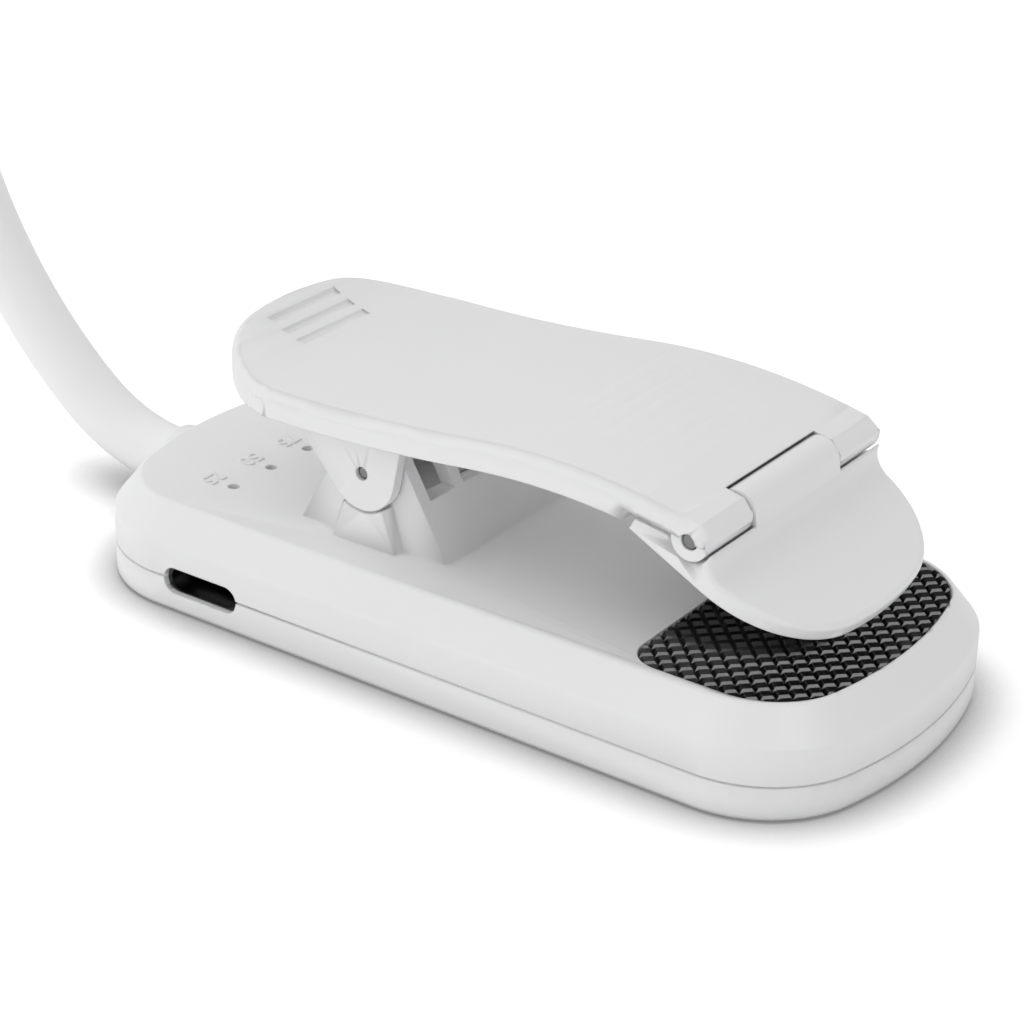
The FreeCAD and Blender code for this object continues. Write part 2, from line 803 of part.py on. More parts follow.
def clip_lever():
    plate = lever_plan(0, lever_front).common(lever_layer(0, lever_rim))
    plate = plate.makeChamfer(lever_bevel, lever_top_rim(plate))
    jaw_back = jaw_pin_x - lever_jaw_reach
    pocket = lever_plan(lever_rim_width, jaw_back - lever_rim_width)
    pocket = pocket.common(lever_layer(lever_skin, lever_rim + overrun))
    jaw_room = lever_layer(lever_jaw_skin, lever_rim + overrun)
    jaw_room = jaw_room.common(block((jaw_back, base_front), across(half_width), (0, lever_peak_top)))
    plate = plate.cut([pocket, jaw_room])
    knuckle_y = (tongue_half + knuckle_gap, knuckle_outer)
    knuckle = rod_y(knuckle_radius, knuckle_y, jaw_pin_x, jaw_pin_z)
    brow = block((jaw_pin_x - knuckle_radius, lever_front), knuckle_y, (jaw_pin_z, lever_peak_top))
    knuckle = knuckle.fuse(brow).common(lever_layer(lever_bevel, lever_rim + knuckle_radius * 2))
    ears = ear()
    plate = joined(plate, ears, mirrored(ears), knuckle, mirrored(knuckle))
    notch_half = across(tongue_half + knuckle_gap)
    notch = rod_y(tongue_radius + knuckle_gap, notch_half, jaw_pin_x, jaw_pin_z)
    mouth = block((jaw_pin_x, base_front), notch_half, (0, lever_peak_top))
    cuts = [notch, mouth]
    cuts.append(rod_y(clip_pin_radius + fit_gap, across(half_width), pivot_x, pivot_z))
    cuts.append(rod_y(jaw_pin_radius + fit_gap, across(half_width), jaw_pin_x, jaw_pin_z))
    return plate.cut(cuts + finger_grooves())


def pin(radius, half, x, z):
    """A pin across the lamp with softly rounded ends."""
    body = rod_y(radius, across(half), x, z)
    return body.makeFillet(pin_round, [e for e in body.Edges if e.BoundBox.YLength < tiny])


def at_jaw(shape):
    """Turns a shape drawn with its sole level, round the jaw pin, to where it hangs on the lever."""
    placed = shape.copy()
    placed.rotate(ORIGIN, ALONG_Y, jaw_tilt)
    placed.translate(V(jaw_pin_x, 0, jaw_pin_z))
    return placed


def jaw_plan(inset, rear, z):
    """The jaw's sole seen from above, from a straight rear edge to a bowed toe."""
    half = jaw_half - inset
    p = bowed_end(jaw_toe - inset, half, bow_radius - inset, jaw_corner - inset)
    return bowed_plate(p, rear, half, z)


def jaw_profile():
    """The jaw from the side: a flat sole, a thin toe, a steep wall up to the hinge and a low heel."""
    top = -jaw_sole + jaw_plate
    ridge = V(relief_radius + jaw_round / 2, 0, 0)
    valley = V(jaw_valley, 0, top)
    bend = Part.Arc(ridge, V((ridge.x * 2 + valley.x) / 3, 0, (top * 2 + ridge.z) / 3), valley).toShape()
    points = [
        valley,
        V(jaw_toe + overrun, 0, top),
        V(jaw_toe + overrun, 0, -jaw_sole),
        V(-jaw_heel, 0, -jaw_sole),
        V(-jaw_heel, 0, -jaw_sole + jaw_heel_top),
        V(-jaw_shelf_back, 0, -jaw_sole + jaw_shelf_top),
        V(-jaw_shelf_back, 0, 0),
        ridge,
    ]
    edges = [line(a, b) for a, b in zip(points, points[1:])] + [bend]
    face = Part.Face(Part.Wire(Part.__sortEdges__(edges)))
    face.translate(V(0, -jaw_half, 0))
    return face.extrude(V(0, 2 * jaw_half, 0))


def jaw_rim(body):
    """The edges round the jaw's toe and down its steep wall, where its top meets its sides."""
    top = -jaw_sole + jaw_plate
    chosen = []
    for edge in body.Edges:
        box = edge.BoundBox
        toe = box.ZLength < tiny and abs(box.ZMin - top) < tiny and box.XMax > jaw_valley + tiny
        side = box.ZLength > jaw_plate and abs(box.ZMin - top) < tiny and abs(box.ZMax) < tiny
        if toe or side:
            chosen.append(edge)
    return chosen


def swivel_jaw():
    z = across(jaw_sole + overrun)
    body = jaw_profile().common(jaw_plan(0, -jaw_heel, z))
    body = body.makeFillet(jaw_edge_round, jaw_rim(body))
    body = body.cut(rod_y(relief_radius, across(jaw_half), 0, 0))
    half = across(tongue_half)
    barrel = rod_y(tongue_radius, half, 0, 0)
    ridge = relief_radius + jaw_round / 2
    touch = math.acos(tongue_radius / ridge)
    low = -jaw_sole + jaw_plate / 2
    web = side_prism([V(-tongue_radius, 0, low), V(ridge, 0, low), V(ridge, 0, 0),
                      V(tongue_radius * math.cos(touch), 0, tongue_radius * math.sin(touch)),
                      V(-tongue_radius, 0, 0)], half)
    body = joined(body, barrel, web)
    sole = -jaw_sole + jaw_pad_recess
    recess = jaw_plan(jaw_pad_inset - seat_gap, jaw_pad_rear - jaw_heel - seat_gap, (-jaw_sole - overrun, sole))
    return body.cut([recess, rod_y(jaw_pin_radius + fit_gap, across(jaw_half), 0, 0)])


def jaw_pad():
    high = -jaw_sole + jaw_pad_recess
    return jaw_plan(jaw_pad_inset, jaw_pad_rear - jaw_heel, (high - jaw_pad_thickness, high))


def biarc(start, start_way, end, end_way):
    """Two arcs that join two points smoothly, with a heading given at each."""
    span = end - start
    total = start_way + end_way
    square = 2 * (1 - start_way.dot(end_way))
    linear = 2 * span.dot(total)
    constant = -span.dot(span)
    reach = (-linear + math.sqrt(linear ** 2 - 4 * square * constant)) / (2 * square)
    first = start + start_way * reach
    second = end - end_way * reach
    meet = (first + second) * 0.5
    return [bent(start, first, meet), bent(meet, second, end)]


def bent(start, corner, end):
    """An arc between two points whose end headings meet at a corner."""
    middle = (start + end) * 0.5
    half = (end - start).Length / 2
    rise = (corner - middle).Length
    sag = half * math.tan(math.atan2(rise, half) / 2)
    return arc(start, middle + (corner - middle).normalize() * sag, end)


def clip_spring():
    """A torsion spring round the clip pin, with one leg on the body and one under the lever."""
    first = math.radians(spring_start)
    last = math.radians(spring_end) + 2 * math.pi * spring_turns
    quarters = math.ceil((last - first) / (math.pi / 2))
    climb = spring_pitch / (2 * math.pi)
    start_y = -climb * (last - first) / 2

    def place(turn):
        return V(pivot_x + spring_radius * math.cos(turn), start_y + climb * (turn - first),
                 pivot_z + spring_radius * math.sin(turn))

    def way(turn):
        return V(-spring_radius * math.sin(turn), climb, spring_radius * math.cos(turn)).normalize()

    turns = [first + (last - first) * n / quarters for n in range(quarters + 1)]
    edges = []
    for a, b in zip(turns, turns[1:]):
        edges += biarc(place(a), way(a), place(b), way(b))
    fall = place(first).z - base_height - spring_base_gap - spring_wire_radius
    foot = place(first) - way(first) * (fall / way(first).z)
    edges.insert(0, line(foot, place(first)))
    edges.append(line(place(last), place(last) + way(last) * spring_lever_leg))
    path = Part.Wire(edges)
    ring = Part.Wire(Part.makeCircle(spring_wire_radius, foot, way(first)))
    coil = path.makePipeShell([ring], True, False)
    print("spring volume over section times length",
          round(coil.Volume / (math.pi * spring_wire_radius ** 2 * path.Length), 4))
    print("spring least gap to itself", round(least_gap(path), 3))
    return coil


def least_gap(path):
    """The least clear distance between two stretches of the spring's wire, measured on points."""
    count = 900
    points = path.discretize(Number=count)
    step = path.Length / (count - 1)
    apart = math.ceil(math.pi * spring_radius / step)
    least = path.Length
    for n, point in enumerate(points):
        for other in points[n + apart:]:
            least = min(least, point.distanceToPoint(other))
    return least - 2 * spring_wire_radius


def neck_stretches():
    """Start, heading and size of every straight or bent stretch of the neck, from the root on."""
    x = neck_root
    z = neck_height
    heading = 0.0
    stretches = []
    sizes = [(neck_lead, 0.0)] + list(zip(neck_lengths, neck_turns))
    for length, turn in sizes:
        stretches.append((V(x, 0, z), heading, length, turn))
        a = math.radians(heading)
        b = math.radians(heading + turn)
        if turn:
            radius = length / (b - a)
            x -= radius * (math.sin(b) - math.sin(a))
            z += radius * (math.cos(a) - math.cos(b))
        else:
            x -= length * math.cos(a)
            z += length * math.sin(a)
        heading += turn
    stretches.append((V(x, 0, z), heading, 0, 0.0))
    return stretches


def facing(heading):
    turn = math.radians(heading)
    return V(-math.cos(turn), 0, math.sin(turn))


def tube(stretch, radius):
    """A round bar along one stretch of the neck."""
    start, heading, length, turn = stretch
    disc = Part.Face(Part.Wire(Part.makeCircle(radius, start, facing(heading))))
    if not turn:
        return disc.extrude(facing(heading) * length)
    bend = length / math.radians(turn)
    inward = V(math.sin(math.radians(heading)), 0, math.cos(math.radians(heading)))
    return disc.revolve(start + inward * bend, ALONG_Y, turn)


def neck():
    """The neck's sleeves and cores, each stretch with a ball end that sits in the next one's cup."""
    stretches = neck_stretches()
    count = len(neck_lengths)
    for number in range(1, count + 1):
        parts = stretches[:2] if number == 1 else [stretches[number]]
        end, heading = stretches[number + 1][:2]
        sleeve = tube(parts[0], neck_radius)
        bore = tube(parts[0], neck_core_radius + fit_gap)
        core = tube(parts[0], neck_core_radius)
        for extra in parts[1:]:
            sleeve = joined(sleeve, tube(extra, neck_radius))
            bore = joined(bore, tube(extra, neck_core_radius + fit_gap))
            core = joined(core, tube(extra, neck_core_radius))
        if number < count:
            ball = Part.makeSphere(neck_radius, end, facing(heading), 0, 90, 360)
            sleeve = joined(sleeve, ball)
        sleeve = sleeve.cut(bore)
        if number > 1:
            cup = Part.makeSphere(neck_radius + moving_gap, parts[0][0])
            sleeve = sleeve.cut(cup)
            core = core.cut(cup)
        if number == 1:
            root = rod_x(neck_core_radius, (neck_root, anchor_front), 0, neck_height)
            core = joined(core, root)
        if number == count:
            tip = Part.makeCylinder(neck_core_radius, head_anchor_length, end, facing(heading))
            core = joined(core, tip)
        save(f"neck_sleeve_{number}", sleeve)
        save(f"neck_core_{number}", core)
    for number, (place, heading, length, turn) in enumerate(stretches[2:-1], 1):
        print("neck bend", number, round(place.x, 4), round(place.z, 4), round(heading, 4))


def neck_root_pieces():
    inner = neck_radius + fit_gap
    x = (base_rear - grommet_stand, base_rear + wall)
    ring = rod_x(inner + grommet_wall, x, 0, neck_height)
    lead_edge = [e for e in ring.Edges if abs(e.BoundBox.XMax - x[0]) < tiny]
    ring = ring.makeFillet(grommet_wall / 2, lead_edge)
    save("neck_grommet", ring.cut(rod_x(inner, (x[0] - overrun, x[1] + overrun), 0, neck_height)))
    anchor = rod_x(anchor_radius, (neck_root, anchor_front), 0, neck_height)
    save("neck_anchor", anchor.cut(rod_x(neck_core_radius + fit_gap, (neck_root, anchor_front), 0, neck_height)))
    middle = neck_root + anchor_length / 2
    span = (middle - clamp_length / 2, middle + clamp_length / 2)
    plate = block(span, across(clamp_half), (clamp_top - clamp_thickness, clamp_top))
    holes = [rod_z(clamp_screw_radius + seat_gap, (0, clamp_top + overrun), x, y) for x, y in clamp_places()]
    save("neck_clamp", plate.cut(holes))
    save("clamp_screws", *[screw(x, y, clamp_top, floor_thickness + seat_gap, clamp_screw_radius,
                                 clamp_screw_head_radius, clamp_screw_head_height)
                           for x, y in clamp_places()])
    z = board_top + lead_radius
    save("neck_leads", *[rod_x(lead_radius, (anchor_front, board_rear + lead_overlap), side * lead_half_span, z)
                         for side in (-1, 1)])


def at_head(shape):
    """Puts a shape drawn along X from the neck's end in its place on the neck."""
    end, heading = neck_stretches()[-1][:2]
    placed = shape.copy()
    placed.rotate(ORIGIN, ALONG_Y, heading - 180)
    placed.translate(end - facing(heading) * neck_entry)
    return placed


def pill(inset, z, start=0.0):
    """A long slab with half-round ends, drawn in by an inset, from a start along the head."""
    radius = head_width / 2 - inset
    ends = (start + inset + radius, head_length - inset - radius)
    near = [V(x, -radius, z[0]) for x in ends]
    far = [V(x, radius, z[0]) for x in ends]
    root = V(ends[0] - radius, 0, z[0])
    nose = V(ends[1] + radius, 0, z[0])
    edges = [line(*near), arc(near[1], nose, far[1]), line(far[1], far[0]), arc(far[0], root, near[0])]
    return Part.Face(Part.Wire(edges)).extrude(V(0, 0, z[1] - z[0]))


def led_places():
    first = led_board_from_root + head_width / 2
    last = head_length - head_width / 2
    xs = [first + (last - first) * n / (led_columns - 1) for n in range(led_columns)]
    ys = [(n - (led_rows - 1) / 2) * led_row_pitch for n in range(led_rows)]
    return [(x, y) for x in xs for y in ys]


def head_screw_places():
    return [led_board_from_root + head_screw_inset, head_length - head_screw_inset - head_wall]


def head_housing():
    body = pill(0, (-head_split, head_roof))
    body = body.makeFillet(head_round, [e for e in body.Edges if abs(e.BoundBox.ZMin - head_roof) < tiny])
    body = body.cut(pill(head_wall, (-head_split - overrun, head_roof - head_wall)))
    socket = rod_x(anchor_radius + head_socket_wall, (head_wall / 2, head_anchor_end), 0, 0)
    socket = socket.cut(block((0, head_length), across(head_width), (-head_split - overrun, -head_split)))
    roof = head_roof - head_wall
    posts = [rod_z(head_boss_radius, (led_board_top, roof + root_sink), x, 0) for x in head_screw_places()]
    body = joined(body, socket, *posts)
    cuts = [rod_x(neck_radius + fit_gap, (-overrun, neck_entry), 0, 0)]
    cuts.append(rod_x(anchor_radius + fit_gap, (-overrun, head_anchor_end), 0, 0))
    cuts += [rod_z(head_screw_radius + fit_gap, (-head_split, roof), x, 0) for x in head_screw_places()]
    return body.cut(cuts)


def head_pieces():
    save("head_housing", at_head(head_housing()))
    ring = pill(0, (-head_under, -head_split))
    ring = ring.makeFillet(head_frame_round, [e for e in ring.Edges if abs(e.BoundBox.ZMax + head_under) < tiny])
    save("head_frame", at_head(ring.cut(pill(frame_inset, (-head_under - overrun, overrun), head_anchor_end))))
    flange = pill(head_wall + seat_gap, (-head_split, -head_split + flange_height), head_anchor_end)
    window = pill(frame_inset + seat_gap, (-head_under + window_proud, -head_split), head_anchor_end)
    save("head_diffuser", at_head(joined(flange, window)))
    board_low = led_board_top - led_board_thickness
    inset = head_wall + led_board_gap
    board = pill(inset, (board_low, led_board_top), led_board_from_root)
    holes = [rod_z(head_screw_radius + fit_gap, (board_low - overrun, head_roof), x, 0) for x in head_screw_places()]
    save("led_board", at_head(board.cut(holes)))
    chips = []
    windows = []
    for x, y in led_places():
        half_l = led_length / 2
        half_w = led_width / 2
        chips.append(block((x - half_l, x + half_l), (y - half_w, y + half_w), (board_low - led_height, board_low)))
        half_l += sheet_window
        half_w += sheet_window
        windows.append(block((x - half_l, x + half_l), (y - half_w, y + half_w), across(head_under)))
    save("led_chips", *[at_head(chip) for chip in chips])
    sheet = pill(inset, (board_low - sheet_thickness, board_low), led_board_from_root)
    room = [rod_z(head_screw_head_radius + seat_gap, across(head_under), x, 0) for x in head_screw_places()]
    save("reflector_sheet", at_head(sheet.cut(windows + room)))
    screws = []
    for x in head_screw_places():
        upright = screw(0, 0, 0, -(head_roof - head_wall - board_low - seat_gap), head_screw_radius,
                        head_screw_head_radius, head_screw_head_height)
        upright.rotate(ORIGIN, ALONG_X, 180)
        upright.translate(V(x, 0, board_low))
        screws.append(at_head(upright))
    save("head_screws", *screws)
    span = (neck_entry, head_anchor_end)
    anchor = rod_x(anchor_radius, span, 0, 0)
    save("head_anchor", at_head(anchor.cut(rod_x(neck_core_radius + fit_gap, span, 0, 0))))
    z = led_board_top + lead_radius
    lead_end = led_board_from_root + inset + head_lead_overlap
    save("head_leads", *[at_head(rod_x(lead_radius, (head_anchor_end, lead_end), side * lead_half_span, z))
                         for side in (-1, 1)])


def body_pieces():
    save("back_shell", back_shell())
    save("front_shell", front_shell())
    save("grip_pad", grip_slab(0, (pad_floor, pad_floor + pad_thickness)))
    tip = floor_thickness + seat_gap
    save("shell_screws", *[screw(x, y, screw_seat, tip, screw_radius, screw_head_radius, screw_head_height)
                           for x, y in screw_places()])
    charging_socket()
    circuit_board()
    push_button()
    battery()


def clip_pieces():
    save("clip_lever", clip_lever())
    save("clip_pin", pin(clip_pin_radius, ear_outer - clip_pin_recess, pivot_x, pivot_z))
    save("clip_spring", clip_spring())
    save("swivel_jaw", at_jaw(swivel_jaw()))
    save("jaw_pad", at_jaw(jaw_pad()))
    save("jaw_pin", pin(jaw_pin_radius, knuckle_outer - jaw_pin_recess, jaw_pin_x, jaw_pin_z))


body_pieces()
clip_pieces()
neck()
neck_root_pieces()
head_pieces()
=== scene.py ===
"""Looks of the clip reading lamp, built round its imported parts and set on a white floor."""
import json
import math

import bpy
from mathutils import Matrix, Vector


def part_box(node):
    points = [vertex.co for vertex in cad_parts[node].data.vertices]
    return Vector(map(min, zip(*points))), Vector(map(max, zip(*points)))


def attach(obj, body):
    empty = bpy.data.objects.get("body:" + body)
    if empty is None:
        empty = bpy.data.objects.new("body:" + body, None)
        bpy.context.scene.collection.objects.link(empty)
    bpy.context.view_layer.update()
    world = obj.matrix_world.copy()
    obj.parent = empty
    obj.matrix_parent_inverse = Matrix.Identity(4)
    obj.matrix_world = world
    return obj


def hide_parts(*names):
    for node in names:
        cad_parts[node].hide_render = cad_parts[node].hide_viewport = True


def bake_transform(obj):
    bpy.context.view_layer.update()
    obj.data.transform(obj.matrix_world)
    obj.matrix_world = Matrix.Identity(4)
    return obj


bl_info = {
    "name": "Clip reading lamp",
    "version": (1, 0, 0),
    "blender": (4, 5, 0),
    "location": "View3D > Sidebar > Lamp",
    "description": "Builds the looks of a clip reading lamp round its packed parts",
    "category": "Object",
}

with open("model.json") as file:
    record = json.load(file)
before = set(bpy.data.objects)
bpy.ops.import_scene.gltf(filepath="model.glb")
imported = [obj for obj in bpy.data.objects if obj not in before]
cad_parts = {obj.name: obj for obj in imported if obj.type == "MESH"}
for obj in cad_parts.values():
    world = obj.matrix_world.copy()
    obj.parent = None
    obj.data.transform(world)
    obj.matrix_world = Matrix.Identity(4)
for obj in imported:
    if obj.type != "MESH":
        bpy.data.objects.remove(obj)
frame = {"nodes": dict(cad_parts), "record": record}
MM = 0.001

# Places and sizes of the parts that the pieces below follow.
DECK_TOP = 10.5 * MM
JAW_PIN = Vector((26.8, 0, 23.0)) * MM
JAW_TILT = math.radians(26.8)
JAW_PAD_ROOT = 2.2 * MM
JAW_PAD_FACE = 3.7 * MM
NECK_ROOT = Vector((-42.1, 0, 4.5)) * MM
NECK_LEAD = 3.9
NECK_LENGTHS = (13.3, 16.6, 16.6, 16.6, 20.0, 22.0, 22.0, 22.0, 14.0)
NECK_TURNS = (38.0, 52.0 / 3, 52.0 / 3, 52.0 / 3, 0.0, 30.0, 30.0, 30.0, 10.0)

# The charge numbers stand behind their lights, in a row across the deck.
NUMERALS = ("25", "50", "75", "100")
NUMERAL_FIRST = -11.2 * MM
NUMERAL_PITCH = 5.8 * MM
NUMERAL_BACK = 1.5 * MM
NUMERAL_EDGE = 0.25

# The fields of diamonds are larger than their pads, which cut them to size.
PAD_FIELD_CENTRE = (36.08 * MM, -12.48 * MM, 0)
PAD_FIELD_SUNK = 0.2 * MM
PAD_FIELD_REACH = 90 * MM
JAW_FIELD_REACH = 60 * MM
RIM_STEPS = 3
RIM_ANGLE = math.radians(40)

# The sleeve's pieces meet in the middle of each stretch.
MIDDLE = 0.5
NECK_STEP = 1.1 * MM

RING_WIRE = 0.14 * MM
RING_SUNK = 0.02 * MM
RING_STEPS = 48
RING_SIDES = 8

# Edges sharper than these, in degrees, stay crisp.
EDGE_ANGLE = 32.0
SHELL_ANGLE = 24.0
CLIP_ANGLE = 36.0
CAP_ANGLE = 28.0
NUMERAL_ANGLE = 30.0
COIL_ANGLE = 40.0
TUBE_ANGLE = 60.0
FULL_WEIGHT = 100
MERGE_DISTANCE = 1e-7

BEVEL_SAMPLES = 6
CONTACT_SAMPLES = 8
FLOOR_SIZE = 6.0
SENSOR_WIDTH = 36.0
CLIP_NEAR = 0.01
CLIP_FAR = 20.0


class LampShape(bpy.types.PropertyGroup):
    """Sizes of what the looks add to the parts."""
    knurl_pitch: bpy.props.FloatProperty(
        name="Knurl pitch", description="Side of one diamond of the rubber grip",
        default=1.485 * MM, unit="LENGTH")
    knurl_height: bpy.props.FloatProperty(
        name="Knurl height", description="Height of the diamonds over their grooves",
        default=0.42 * MM, unit="LENGTH")
    knurl_inset: bpy.props.FloatProperty(
        name="Knurl slope", description="Share of the side that each slope takes",
        default=0.2, subtype="FACTOR")
    numeral_size: bpy.props.FloatProperty(
        name="Numeral size", description="Height of the charge numerals",
        default=2.6 * MM, unit="LENGTH")
    numeral_rise: bpy.props.FloatProperty(
        name="Numeral rise", description="How far the numerals stand out",
        default=0.12 * MM, unit="LENGTH")
    neck_radius: bpy.props.FloatProperty(
        name="Neck radius", description="Outside radius of the sleeve",
        default=3.25 * MM, unit="LENGTH")
    neck_sides: bpy.props.IntProperty(
        name="Neck sides", description="Facets round the sleeve", default=56)
    symbol_radius: bpy.props.FloatProperty(
        name="Symbol radius", description="Radius of the ring on the push button",
        default=1.7 * MM, unit="LENGTH")


class LampFinish(bpy.types.PropertyGroup):
    """Colours and surface of the lamp."""
    white: bpy.props.FloatVectorProperty(
        name="White plastic", description="Colour of the shells and the clip", subtype="COLOR",
        size=3, default=(0.85, 0.85, 0.855))
    sleeve: bpy.props.FloatVectorProperty(
        name="Sleeve", description="Colour of the neck's soft sleeve", subtype="COLOR",
        size=3, default=(0.9, 0.9, 0.905))
    rubber: bpy.props.FloatVectorProperty(
        name="Rubber", description="Colour of the grip pads", subtype="COLOR",
        size=3, default=(0.002, 0.002, 0.002))
    plastic_rough: bpy.props.FloatProperty(
        name="Plastic roughness", description="Roughness of the white plastic",
        default=0.42, subtype="FACTOR")
    grain: bpy.props.FloatProperty(
        name="Grain depth", description="Depth of the moulded grain",
        default=0.006 * MM, unit="LENGTH")
    soften: bpy.props.FloatProperty(
        name="Edge softness", description="Radius by which edges are softened",
        default=0.22 * MM, unit="LENGTH")


class LampStage(bpy.types.PropertyGroup):
    """Camera, floor and light."""
    azimuth: bpy.props.FloatProperty(
        name="Azimuth", description="Turn of the camera round the lamp",
        default=math.radians(34.748), subtype="ANGLE")
    elevation: bpy.props.FloatProperty(
        name="Elevation", description="Height of the camera over the floor",
        default=math.radians(25.847), subtype="ANGLE")
    roll: bpy.props.FloatProperty(
        name="Roll", description="Lean of the camera", default=math.radians(1.519), subtype="ANGLE")
    distance: bpy.props.FloatProperty(
        name="Distance", description="Camera to the middle of the lamp's body",
        default=279.78 * MM, unit="LENGTH")
    shift_right: bpy.props.FloatProperty(
        name="Shift right", description="Camera moved to its right",
        default=-1.798 * MM, unit="LENGTH")
    shift_up: bpy.props.FloatProperty(
        name="Shift up", description="Camera moved up its view",
        default=10.762 * MM, unit="LENGTH")
    lens: bpy.props.FloatProperty(
        name="Lens", description="Focal length in millimetres", default=99.53)
    sky: bpy.props.FloatProperty(
        name="Sky", description="Even light from all round", default=0.92)
    sky_lean: bpy.props.FloatProperty(
        name="Sky lean", description="How much darker the sky is on the clip mouth's side",
        default=0.34)
    mirror_sky: bpy.props.FloatProperty(
        name="Mirrored sky", description="Strength of the sky in reflections", default=0.12)
    key: bpy.props.FloatProperty(
        name="Key light", description="Power of the large soft light in watts",
        default=0.5, subtype="POWER")
    key_place: bpy.props.FloatVectorProperty(
        name="Key place", description="Where the large soft light stands",
        size=3, default=(-0.35, -0.3, 0.75), subtype="TRANSLATION")
    key_aim: bpy.props.FloatVectorProperty(
        name="Key aim", description="What the large soft light points at",
        size=3, default=(0, 0, 0.01), subtype="TRANSLATION")
    key_size: bpy.props.FloatProperty(
        name="Key size", description="Side of the large soft light", default=0.7, unit="LENGTH")
    glint: bpy.props.FloatProperty(
        name="Glint panel", description="Power of the panel that shows in reflections only",
        default=1.3, subtype="POWER")
    glint_place: bpy.props.FloatVectorProperty(
        name="Glint place", description="Where the panel stands",
        size=3, default=(0.595, -0.264, 0.53), subtype="TRANSLATION")
    glint_aim: bpy.props.FloatVectorProperty(
        name="Glint aim", description="What the panel points at",
        size=3, default=(0.03, 0, 0.01), subtype="TRANSLATION")
    glint_size: bpy.props.FloatProperty(
        name="Glint size", description="Side of the panel", default=0.25, unit="LENGTH")
    floor_glow: bpy.props.FloatProperty(
        name="Floor glow", description="Light added to the floor as the camera sees it",
        default=0.2)
    floor_gap: bpy.props.FloatProperty(
        name="Floor gap", description="How far the floor lies under the lamp",
        default=0.03 * MM, unit="LENGTH")
    floor_white: bpy.props.FloatProperty(
        name="Floor white", description="Brightness of the floor away from the lamp",
        default=0.98, subtype="FACTOR")
    # The four contact settings below set a painted contact shadow in the floor's colour.
    contact_dark: bpy.props.FloatProperty(
        name="Contact dark", description="Brightness of the floor where the lamp touches it",
        default=0.12, subtype="FACTOR")
    contact_reach: bpy.props.FloatProperty(
        name="Contact reach", description="How far the contact shadow reaches",
        default=7.0 * MM, unit="LENGTH")
    contact_closed: bpy.props.FloatProperty(
        name="Contact closed", description="Openness at which the contact shadow is darkest",
        default=0.35, subtype="FACTOR")
    contact_open: bpy.props.FloatProperty(
        name="Contact open", description="Openness at which the contact shadow ends",
        default=0.9, subtype="FACTOR")


def select_only(*objs):
    """Makes these the only selected objects, the first one active."""
    if bpy.context.object and bpy.context.object.mode != "OBJECT":
        bpy.ops.object.mode_set(mode="OBJECT")
    bpy.ops.object.select_all(action="DESELECT")
    for obj in objs:
        obj.select_set(True)
    bpy.context.view_layer.objects.active = objs[0]


def edit(obj):
    """Opens an object for editing with everything selected."""
    select_only(obj)
    bpy.ops.object.mode_set(mode="EDIT")
    bpy.ops.mesh.select_all(action="SELECT")


def done():
    """Closes the editing of an object."""
    bpy.ops.object.mode_set(mode="OBJECT")


def settled(obj):
    """Puts an object's place into its mesh."""
    select_only(obj)
    bpy.ops.object.transform_apply(location=True, rotation=True, scale=True)


def apply_modifier(obj, kind, **settings):
    """Adds a modifier, sets it and applies it."""
    select_only(obj)
    bpy.ops.object.modifier_add(type=kind)
    modifier = obj.modifiers[-1]
    for key, value in settings.items():
        setattr(modifier, key, value)
    bpy.ops.object.modifier_apply(modifier=modifier.name)


def smooth(obj, degrees=EDGE_ANGLE):
    """Smooth shading that keeps sharp edges, with large faces setting how the surface looks."""
    select_only(obj)
    bpy.ops.object.shade_smooth_by_angle(angle=math.radians(degrees))
    apply_modifier(obj, "WEIGHTED_NORMAL", mode="FACE_AREA", weight=FULL_WEIGHT, keep_sharp=True)


def twin(node, name):
    """A merged copy of a part's mesh, to be worked on as a piece of its own."""
    source = frame["nodes"][node]
    obj = bpy.data.objects.new(name, source.data.copy())
    obj.data.materials.clear()
    bpy.context.scene.collection.objects.link(obj)
    edit(obj)
    bpy.ops.mesh.remove_doubles(threshold=MERGE_DISTANCE)
    bpy.ops.mesh.normals_make_consistent(inside=False)
    done()
    return obj


def placed(obj, body, nodes, material):
    """Gives a finished piece its material and hangs it on its body in place of these parts."""
    obj.data.materials.clear()
    obj.data.materials.append(material)
    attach(obj, body)
    if nodes:
        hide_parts(*nodes)
    return obj


def body_of_node(node):
    """The body that a part moves with."""
    bodies = frame["record"]["behaviour"]["bodies"]
    return next(b for b, members in bodies.items() if node in members)


def skin(node, material, degrees=EDGE_ANGLE):
    """A smooth-shaded copy of a part that stands for it."""
    obj = twin(node, node + "_skin")
    smooth(obj, degrees)
    return placed(obj, body_of_node(node), [node], material)


def shader_node(tree, kind, **values):
    """Adds a shader node and sets its inputs, named with underscores for spaces."""
    node = tree.nodes.new(kind)
    for key, value in values.items():
        node.inputs[key.replace("_", " ")].default_value = value
    return node


def math_node(tree, operation, second=None, third=None):
    """Adds a sum of two or three numbers, of which the later ones may be fixed."""
    node = tree.nodes.new("ShaderNodeMath")
    node.operation = operation
    if second is not None:
        node.inputs[1].default_value = second
    if third is not None:
        node.inputs[2].default_value = third
    return node


def socket(group, name, kind, side, value=None):
    """Adds an input or output to a node group."""
    made = group.interface.new_socket(name=name, in_out=side, socket_type=kind)
    if value is not None:
        made.default_value = value
    return made


